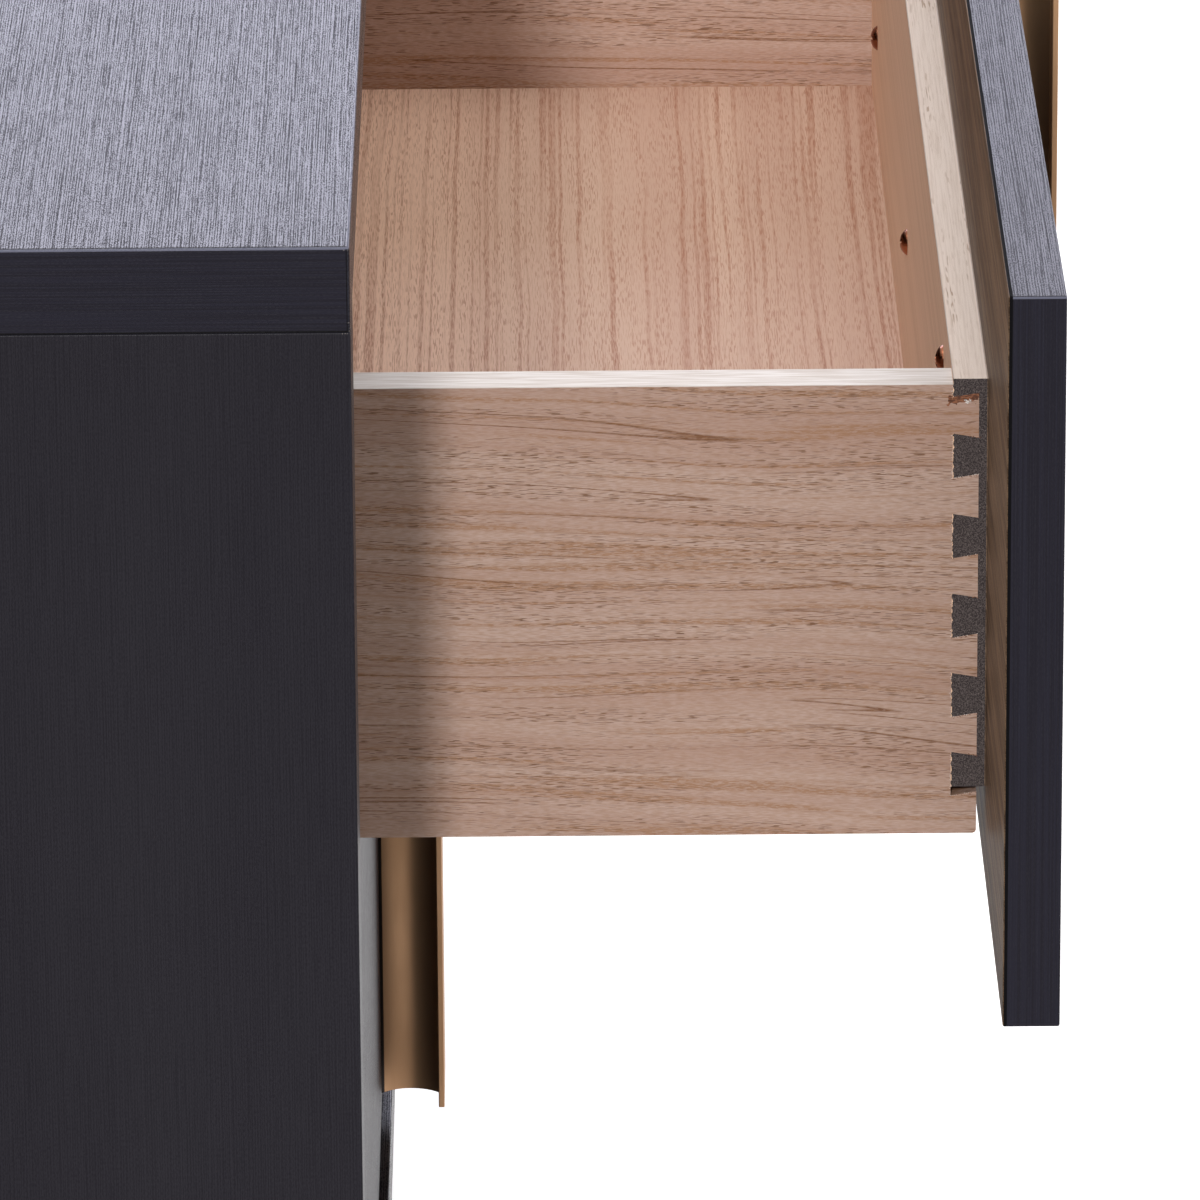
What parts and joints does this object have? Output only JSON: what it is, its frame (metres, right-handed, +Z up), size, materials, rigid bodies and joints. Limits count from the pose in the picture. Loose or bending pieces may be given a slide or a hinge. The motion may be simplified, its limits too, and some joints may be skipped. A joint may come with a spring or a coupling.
{
  "type": "dresser",
  "caption": "Low wide dresser on tapered legs with full-width inset drawers, vertical metal pulls, dovetailed drawer boxes and concealed slides; the upper drawer is stored part open.",
  "frame": {"origin": "on the floor, at the middle of the box round the whole object in its stored pose, with the upper drawer 247 mm open", "axes": "+X towards the dresser's right side seen from the front, +Y towards its back, so the drawers open towards -Y, +Z up"},
  "size_m": [1.26, 0.719, 0.75],
  "materials": {
    "charcoal_wood": "charcoal stained veneer, fine open grain, satin lacquer",
    "inner_board": "dark taupe wood-grain laminate",
    "light_wood": "pale pinkish-tan veneer with brown grain streaks, clear matt lacquer",
    "fibreboard": "dense grey-brown fibreboard with a tan face and a pale edge band",
    "beech": "plain dowel wood",
    "bronze_metal": "satin bronze",
    "plated_steel": "zinc plated",
    "slide_steel": "galvanised sheet",
    "grey_plastic": "moulded dark grey plastic",
    "soft_pad": "translucent soft pad"
  },
  "bodies": {
    "carcass": {"top_panel": "charcoal_wood", "side_panel_left": "charcoal_wood", "side_panel_right": "charcoal_wood", "bottom_panel": "charcoal_wood", "back_panel": "inner_board", "inner_upright_left": "inner_board", "inner_upright_right": "inner_board", "top_rail_front": "inner_board", "top_rail_back": "inner_board", "middle_rail": "inner_board", "carcass_dowels": "beech", "back_screws": "plated_steel", "bumpers": "soft_pad", "leg_front_left": "bronze_metal", "leg_front_right": "bronze_metal", "leg_back_left": "bronze_metal", "leg_back_right": "bronze_metal", "leg_plates": "plated_steel", "leg_screws": "plated_steel", "leg_bolts": "plated_steel", "leg_glides": "grey_plastic", "slide_screws": "plated_steel", "upper_slide_rail_left": "slide_steel", "upper_slide_rail_right": "slide_steel", "lower_slide_rail_left": "slide_steel", "lower_slide_rail_right": "slide_steel"},
    "upper_drawer": {"upper_front": "charcoal_wood", "upper_pull": "bronze_metal", "upper_pull_screws": "plated_steel", "upper_inner_front": "fibreboard", "upper_side_left": "light_wood", "upper_side_right": "light_wood", "upper_back": "light_wood", "upper_bottom": "light_wood", "upper_front_screws": "plated_steel", "upper_side_screws": "plated_steel", "upper_underside_screws": "plated_steel", "upper_slide_clips": "grey_plastic", "upper_slide_channel_left": "slide_steel", "upper_slide_channel_right": "slide_steel"},
    "lower_drawer": {"lower_front": "charcoal_wood", "lower_pull": "bronze_metal", "lower_pull_screws": "plated_steel", "lower_inner_front": "fibreboard", "lower_side_left": "light_wood", "lower_side_right": "light_wood", "lower_back": "light_wood", "lower_bottom": "light_wood", "lower_front_screws": "plated_steel", "lower_side_screws": "plated_steel", "lower_underside_screws": "plated_steel", "lower_slide_clips": "grey_plastic", "lower_slide_channel_left": "slide_steel", "lower_slide_channel_right": "slide_steel"},
    "upper_slide_middles": {"upper_slide_middle_left": "slide_steel", "upper_slide_middle_right": "slide_steel"},
    "lower_slide_middles": {"lower_slide_middle_left": "slide_steel", "lower_slide_middle_right": "slide_steel"}
  },
  "joints": [
    {"name": "upper_drawer_slide", "type": "slide", "parent": "carcass", "child": "upper_drawer", "axis": [0, -1, 0], "range_m": [-0.247, 0.103]},
    {"name": "upper_middle_slide", "type": "slide", "parent": "carcass", "child": "upper_slide_middles", "axis": [0, -1, 0], "range_m": [-0.1235, 0.0515]},
    {"name": "lower_drawer_slide", "type": "slide", "parent": "carcass", "child": "lower_drawer", "axis": [0, -1, 0], "range_m": [0, 0.35]},
    {"name": "lower_middle_slide", "type": "slide", "parent": "carcass", "child": "lower_slide_middles", "axis": [0, -1, 0], "range_m": [0, 0.175]}
  ],
  "couplings": [
    {"joint": "upper_middle_slide", "follows": "upper_drawer_slide", "ratio": 0.5},
    {"joint": "lower_middle_slide", "follows": "lower_drawer_slide", "ratio": 0.5}
  ]
}
